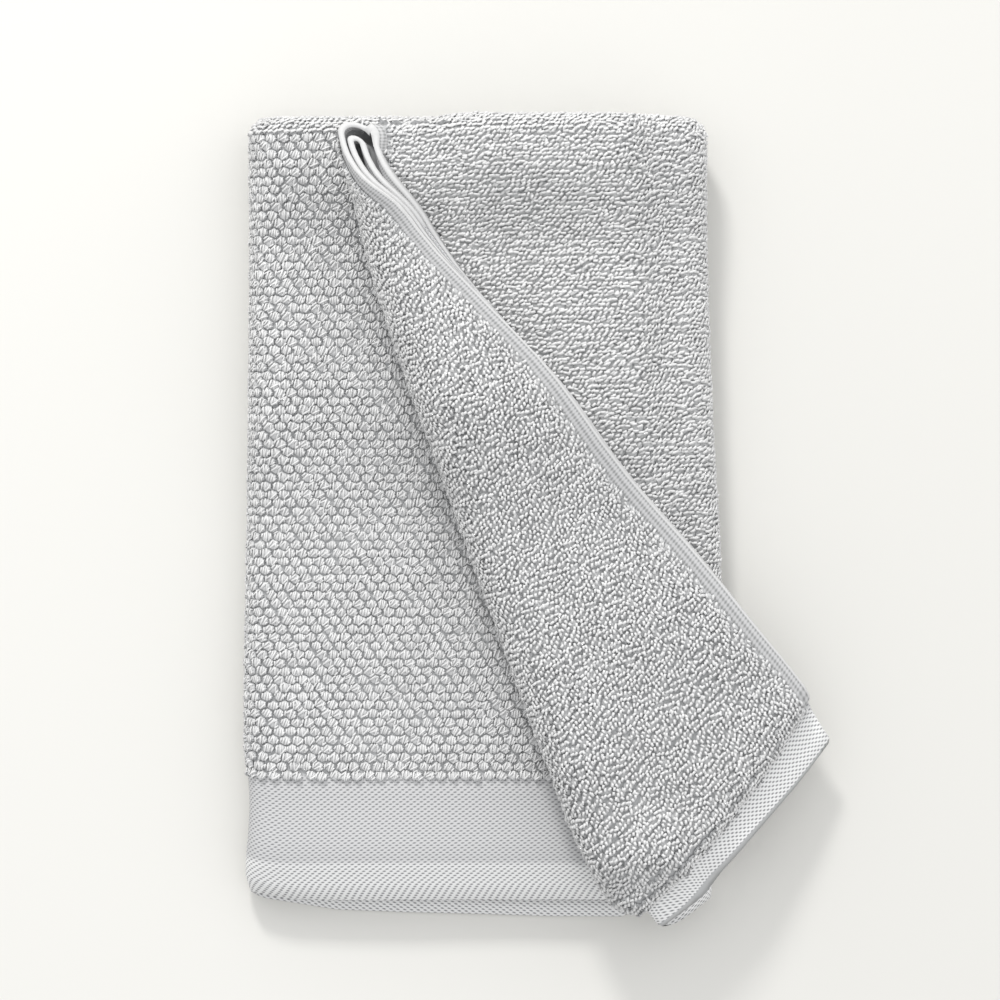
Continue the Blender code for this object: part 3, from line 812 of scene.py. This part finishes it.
def add_bun(tuft, kind):
    """The low bun that fills a tuft: a shoulder ring and a top over the tuft's outline."""
    rings = []
    for reach, height in ((1.0, 0.0), (BUN_SHOULDER, BUN_SHOULDER_RISE * kind.bun_rise)):
        ring = []
        for k in range(BUN_SIDES):
            angle = math.tau * (k + 0.5) / BUN_SIDES
            x = reach * kind.bun * kind.half_width * math.cos(angle)
            y = reach * kind.bun * kind.half_length * math.sin(angle)
            ring.append(tuft.verts.new((x, y, height)))
        rings.append(ring)
    top = tuft.verts.new((0.0, 0.0, kind.bun_rise))
    for k in range(BUN_SIDES):
        beside = (k + 1) % BUN_SIDES
        tuft.faces.new((rings[0][k], rings[0][beside], rings[1][beside], rings[1][k]))
        tuft.faces.new((rings[1][k], rings[1][beside], top))


def add_loop(tuft, kind, aside, side_of_row, chance):
    """One arch of yarn over a bun, this far aside of its middle. Scattered ones lie anyhow."""
    swell = 1.0 if kind.scatter else math.sqrt(1.0 - aside * aside)
    reach = kind.reach * swell * chance.uniform(*LOOP_REACH_RANGE)
    rise = LOOP_RISE * mix(EDGE_LOOP_RISE, 1.0, swell) * chance.uniform(*LOOP_RISE_RANGE)
    slant = math.radians(kind.slant + chance.uniform(-1.0, 1.0) * kind.slant_spread)
    curl = chance.uniform(-1.0, 1.0) * kind.curl
    run = Vector((math.cos(slant), math.sin(slant)))
    beside = Vector((run.y, -run.x))
    middle = beside * aside
    if kind.scatter:
        middle = Vector((aside, side_of_row * chance.uniform(*LOOP_SCATTER_RANGE) * kind.scatter))
    half_run = reach * kind.half_length
    known = set(tuft.verts)
    ring = bmesh.ops.create_circle(tuft, segments=LOOP_SIDES, radius=kind.yarn)["verts"]
    bmesh.ops.rotate(tuft, verts=ring, cent=(0, 0, 0), matrix=Matrix.Rotation(math.radians(180), 3, "Z"))
    bmesh.ops.translate(tuft, verts=ring, vec=(0.0, half_run, 0.0))
    edges = list({edge for vertex in ring for edge in vertex.link_edges})
    bmesh.ops.spin(tuft, geom=ring + edges, axis=(1, 0, 0), cent=(0, 0, 0), angle=math.pi, steps=LOOP_STEPS)
    for vertex in set(tuft.verts) - known:
        share = min(max(vertex.co.y / half_run, -1.0), 1.0)
        along = math.copysign(abs(share) ** LOOP_FULLNESS, share) * reach
        spot = middle + run * along
        off = beside * (vertex.co.x + curl * (1.0 - share * share))
        x = spot.x * kind.half_width + off.x
        y = spot.y * kind.half_length + off.y
        vertex.co = (x, y, vertex.co.z * rise / half_run)


def make_tufts(kind, chance):
    """A few different tufts of one kind, each a bun with loops of yarn side by side over it."""
    templates = []
    for number in range(kind.count):
        tuft = bmesh.new()
        add_bun(tuft, kind)
        for k in range(kind.loops):
            aside = LOOP_SPREAD * (2 * k - kind.loops + 1) / kind.loops
            aside += chance.uniform(-LOOP_ASIDE_JITTER, LOOP_ASIDE_JITTER)
            side_of_row = 1 - 2 * ((k + number) % 2)
            add_loop(tuft, kind, aside, side_of_row, chance)
        bmesh.ops.recalc_face_normals(tuft, faces=tuft.faces[:])
        for face in tuft.faces:
            face.smooth = True
        mesh = bpy.data.meshes.new(f"{kind.name}_{number}")
        tuft.to_mesh(mesh)
        # Each point's height in the loop: the yarn's painted shade darkens the low points.
        tip = mesh.attributes.new("tip", "FLOAT", "POINT")
        heights = [min(max(vertex.co.z / LOOP_RISE, 0.0), 1.0) for vertex in mesh.vertices]
        tip.data.foreach_set("value", heights)
        tuft.free()
        templates.append(bpy.data.objects.new(mesh.name, mesh))
        bpy.context.scene.collection.objects.link(templates[-1])
    return templates


def looped_yarn():
    """Soft two-ply cotton yarn: matt, pale cool grey, with painted shade darkening it down between the
    loops.
    """
    material, tree, shader = new_material("cotton_loop_pile")
    tip = add_node(tree, "ShaderNodeAttribute", attribute_name="tip")
    # shade carries each tuft's painted shade and its random difference in tone.
    shade = add_node(tree, "ShaderNodeAttribute", attribute_name="shade")
    # Painted shade: the yarn is darker low down, where the loops shade each other, and paler at the tops.
    painted_light_share = share_between(tree, tip.outputs["Fac"], TIP_SHADE_START, TIP_SHADE_END)
    yarn_with_painted_shade = add_node(
        tree,
        "ShaderNodeMix",
        {0: 1.0, 6: blend(tree, painted_light_share, linear("BFC0C1"), linear("DFDFDF")), 7: shade.outputs["Color"]},
        data_type="RGBA",
        blend_type="MULTIPLY",
    )
    tree.links.new(yarn_with_painted_shade.outputs[2], shader.inputs["Base Color"])
    shader.inputs["Roughness"].default_value = 0.95
    return material


def covered(spot, normal, aside):
    """Whether the next layer of cloth lies right over this place."""
    for lean in (Vector((0, 0, 0)), aside, -aside, normal.cross(aside), aside.cross(normal)):
        direction = (normal + lean).normalized()
        if cloth_tree.ray_cast(spot + direction * NEARBY, direction, HIDDEN_REACH)[0] is None:
            return False
    return True


def tuft_rows():
    """Places of the rows of tufts along the flat cloth, even along its outer face."""
    rows = []
    v = BORDER_WIDTH + TUFT_ROW_PITCH / 2 - BORDER_OVERHANG
    outside_run = TUFT_ROW_PITCH
    while v < RETURN_RUN_START:
        if outside_run >= TUFT_ROW_PITCH:
            rows.append(v)
            outside_run -= TUFT_ROW_PITCH
        opened = 1.0
        if OUTER_RUN_END < v < INNER_RUN_START:
            opened += TERRY_THICKNESS / 2 / OUTER_TURN_RADIUS
        if INNER_RUN_END < v:
            opened += TERRY_THICKNESS / 2 / TERRY_TURN_RADIUS
        outside_run += ROW_PROBE * opened
        v += ROW_PROBE
    return rows


def tuft_spots(area, chance):
    """Places of tufts on the cloth's outer face, with their turn and size, row by row."""
    spots = []
    jitter = area.kind.jitter
    column_count = round((CLOTH_WIDTH - 2 * SELVEDGE_WIDTH) / TUFT_PITCH)
    edge_u = SELVEDGE_WIDTH + EDGE_SHARE * TUFT_PITCH
    for row, v in enumerate(tuft_rows()):
        if not area.v_start <= v < area.v_end:
            continue
        brick_step = row % 2
        for column in range(column_count + brick_step):
            u = CLOTH_WIDTH / 2 + (column - (column_count + brick_step - 1) / 2) * TUFT_PITCH
            u = min(max(u, edge_u), CLOTH_WIDTH - edge_u)
            if not area.u_start <= u < area.u_end:
                continue
            u += chance.uniform(-jitter, jitter)
            v_here = v + chance.uniform(-jitter, jitter)
            spot = fold_point(u, v_here, 0.0)
            across = (fold_point(u + NEARBY, v_here, 0.0) - spot).normalized()
            along = (fold_point(u, v_here + NEARBY, 0.0) - spot).normalized()
            normal = along.cross(across).normalized()
            if covered(spot, normal, across):
                continue
            upright = Matrix((across, normal.cross(across), normal)).transposed()
            twist = math.radians(chance.uniform(-area.kind.turn, area.kind.turn))
            turn = upright @ Matrix.Rotation(twist, 3, "Z")
            ranges = (TUFT_WIDTH_RANGE, TUFT_LENGTH_RANGE, TUFT_HEIGHT_RANGE)
            size = Vector([chance.uniform(*limits) for limits in ranges])
            size.z *= mix(1.0, UNDERSIDE_SQUASH, smooth(-normal.z, UNDERSIDE_START, UNDERSIDE_FULL))
            # Each tuft's shade is its kind's painted shade, plus a small random difference in tone.
            shade = area.kind.shade + chance.uniform(-SHADE_SPREAD, SHADE_SPREAD)
            spots.append((spot, turn.to_quaternion(), size, shade))
    return spots


def set_on_points(points, name, kind, field, values):
    points.attributes.new(name, kind, "POINT").data.foreach_set(field, values)


def lay_tufts(area, spots, material, chance):
    """One mesh of all the tufts of one part of the towel."""
    points = bpy.data.meshes.new(area.name + "_places")
    points.vertices.add(len(spots))
    points.vertices.foreach_set("co", [value for spot in spots for value in spot[0]])
    set_on_points(points, "turn", "QUATERNION", "value", [value for spot in spots for value in spot[1]])
    set_on_points(points, "size", "FLOAT_VECTOR", "vector", [value for spot in spots for value in spot[2]])
    set_on_points(points, "shade", "FLOAT", "value", [spot[3] for spot in spots])
    picked = [chance.randrange(len(tufts[area.kind])) for _ in spots]
    set_on_points(points, "pick", "INT", "value", picked)
    carrier = bpy.data.objects.new(area.name + "_places", points)
    bpy.context.scene.collection.objects.link(carrier)
    tree = bpy.data.node_groups.new(area.name + "_tufts", "GeometryNodeTree")
    tree.interface.new_socket("Geometry", in_out="INPUT", socket_type="NodeSocketGeometry")
    tree.interface.new_socket("Geometry", in_out="OUTPUT", socket_type="NodeSocketGeometry")
    entry = add_node(tree, "NodeGroupInput")
    exit_node = add_node(tree, "NodeGroupOutput")
    together = add_node(tree, "GeometryNodeJoinGeometry")
    for template in reversed(tufts[area.kind]):
        info = add_node(tree, "GeometryNodeObjectInfo", {"Object": template, "As Instance": True})
        tree.links.new(info.outputs["Geometry"], together.inputs[0])
    turn = add_node(tree, "GeometryNodeInputNamedAttribute", {"Name": "turn"}, data_type="QUATERNION")
    size = add_node(tree, "GeometryNodeInputNamedAttribute", {"Name": "size"}, data_type="FLOAT_VECTOR")
    pick = add_node(tree, "GeometryNodeInputNamedAttribute", {"Name": "pick"}, data_type="INT")
    laid = add_node(
        tree,
        "GeometryNodeInstanceOnPoints",
        {
            "Points": entry.outputs[0],
            "Instance": together.outputs[0],
            "Pick Instance": True,
            "Instance Index": pick.outputs["Attribute"],
            "Rotation": turn.outputs["Attribute"],
            "Scale": size.outputs["Attribute"],
        },
    )
    real = add_node(tree, "GeometryNodeRealizeInstances", {"Geometry": laid.outputs[0]})
    tree.links.new(real.outputs[0], exit_node.inputs[0])
    carrier.modifiers.new("tufts", "NODES").node_group = tree
    dressed = carrier.evaluated_get(bpy.context.evaluated_depsgraph_get())
    pile = bpy.data.objects.new(area.name, bpy.data.meshes.new_from_object(dressed))
    pile.data.name = area.name
    bpy.context.scene.collection.objects.link(pile)
    bpy.data.objects.remove(carrier)
    pile.data.materials.clear()
    pile.data.materials.append(material)
    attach(pile, "root")
    return pile


chance = random.Random(RANDOM_SEED)
tufts = {kind: make_tufts(kind, chance) for kind in (UPRIGHT, SLANTING, CURLY, PLAIN)}
yarn = looped_yarn()
left_middle = BOTTOM_MIDDLE + left_fold(0.0)[0]
right_middle = BOTTOM_MIDDLE + right_fold(0.0, stack(0.0))[0]
left_rim = left_middle - math.pi * left_fold(0.0)[1] - TUFT_PITCH
right_rim = right_middle + math.pi * right_fold(0.0, stack(0.0))[1] + TUFT_PITCH
top_fold_end = INNER_RUN_START + TOP_FOLD_REACH
flap_middle = mix(INNER_RUN_START, INNER_RUN_END, FLAP_SHARE)
PileArea = namedtuple("PileArea", "name u_start u_end v_start v_end kind")
PILE_AREAS = [
    PileArea("left_panel_pile", 0.0, left_rim, 0.0, OUTER_RUN_END, UPRIGHT),
    PileArea("left_fold_pile", left_rim, left_middle, 0.0, OUTER_RUN_END, UPRIGHT),
    PileArea("underside_pile", left_middle, right_middle, 0.0, OUTER_RUN_END, PLAIN),
    PileArea("right_fold_pile", right_middle, right_rim, 0.0, OUTER_RUN_END, SLANTING),
    PileArea("right_panel_pile", right_rim, CLOTH_WIDTH, 0.0, OUTER_RUN_END, SLANTING),
    PileArea("top_fold_pile", 0.0, CLOTH_WIDTH, OUTER_RUN_END, top_fold_end, SLANTING),
    PileArea("turned_corner_top_pile", 0.0, CLOTH_WIDTH, top_fold_end, flap_middle, CURLY),
    PileArea("turned_corner_end_pile", 0.0, CLOTH_WIDTH, flap_middle, RETURN_RUN_START, CURLY),
]
piles = [lay_tufts(area, tuft_spots(area, chance), yarn, chance) for area in PILE_AREAS]
for templates in tufts.values():
    for template in templates:
        bpy.data.objects.remove(template)

# The floor
# A seamless sheet of warm white paper, matt, that the towel lies on. It is painted a little
# greyer to the right, painted shade where less light falls, and it lies a hair below the cloth
# so that the two don't share a plane.
FLOOR_REACH = 3.0
FLOOR_DROP = 0.0004
FLOOR_PAINTED_SHADE_START = -0.15
FLOOR_PAINTED_SHADE_END = 0.22
floor_sheet = bmesh.new()
bmesh.ops.create_grid(floor_sheet, x_segments=1, y_segments=1, size=FLOOR_REACH)
bmesh.ops.translate(floor_sheet, verts=floor_sheet.verts[:], vec=(0.0, 0.0, -FLOOR_DROP))
floor = bpy.data.objects.new("floor", bpy.data.meshes.new("floor"))
floor_sheet.to_mesh(floor.data)
floor_sheet.free()
bpy.context.scene.collection.objects.link(floor)
paper, paper_tree, paper_shader = new_material("matt_white_paper")
place_on_floor = add_node(paper_tree, "ShaderNodeTexCoord")
floor_apart = add_node(paper_tree, "ShaderNodeSeparateXYZ", {"Vector": place_on_floor.outputs["Object"]})
# Painted shade: the paper is painted greyer to the right, where less light falls.
painted_shade_to_right = share_between(paper_tree, floor_apart.outputs["X"], FLOOR_PAINTED_SHADE_START, FLOOR_PAINTED_SHADE_END)
paper_with_painted_shade = blend(paper_tree, painted_shade_to_right, linear("DDDCD8"), linear("D8D7D3"))
paper_tree.links.new(paper_with_painted_shade, paper_shader.inputs["Base Color"])
paper_shader.inputs["Roughness"].default_value = 0.9
floor.data.materials.append(paper)

# The light
# A lamp fairly low past the towel's folded top, and pale light from all around that
# is stronger from a window past the top and to the right.
WINDOW_DIRECTION = (0.55, 0.84, 0.0)
DIMMEST_SKY = 0.70
BRIGHTEST_SKY = 1.42
LAMP_PLACE = Vector((-0.60, 2.6, 1.72))
LAMP_SIZE = 0.50
LAMP_POWER = 54.0
world = bpy.data.worlds.new("pale_room")
world.use_nodes = True
sky = world.node_tree
direction = add_node(sky, "ShaderNodeTexCoord")
toward_window = add_node(
    sky,
    "ShaderNodeVectorMath",
    {0: direction.outputs["Generated"], 1: WINDOW_DIRECTION},
    operation="DOT_PRODUCT",
)
brighter_there = add_node(
    sky,
    "ShaderNodeMapRange",
    {
        "Value": toward_window.outputs["Value"],
        "From Min": -1.0,
        "From Max": 1.0,
        "To Min": DIMMEST_SKY,
        "To Max": BRIGHTEST_SKY,
    },
)
sky.links.new(brighter_there.outputs[0], sky.nodes["Background"].inputs["Strength"])
sky.nodes["Background"].inputs["Color"].default_value = (0.99, 0.995, 1.0, 1.0)
bpy.context.scene.world = world
bpy.context.scene.view_settings.view_transform = "Standard"
lamp = bpy.data.objects.new("soft_lamp", bpy.data.lights.new("soft_lamp", "AREA"))
lamp.data.shape = "SQUARE"
lamp.data.size = LAMP_SIZE
lamp.data.energy = LAMP_POWER
lamp.data.color = (1.0, 0.99, 0.97)
lamp.location = LAMP_PLACE
lamp.rotation_euler = (-LAMP_PLACE).to_track_quat("-Z", "Y").to_euler()
bpy.context.scene.collection.objects.link(lamp)

# The camera
# Straight above the towel, and so far away that its sides hardly show.
METRES_PER_PIXEL = 0.000593
IMAGE_PIXELS = 1000
TOWEL_MIDDLE_PIXEL = (477.5, 512.0)
CAMERA_HEIGHT = 2.4
TRUE_SCALE_HEIGHT = 0.03
camera = bpy.data.objects.new("camera", bpy.data.cameras.new("camera"))
camera.location = (
    (IMAGE_PIXELS / 2 - TOWEL_MIDDLE_PIXEL[0]) * METRES_PER_PIXEL,
    (TOWEL_MIDDLE_PIXEL[1] - IMAGE_PIXELS / 2) * METRES_PER_PIXEL,
    CAMERA_HEIGHT,
)
half_view = IMAGE_PIXELS / 2 * METRES_PER_PIXEL
camera.data.angle = 2 * math.atan(half_view / (CAMERA_HEIGHT - TRUE_SCALE_HEIGHT))
bpy.context.scene.collection.objects.link(camera)
bpy.context.scene.camera = camera
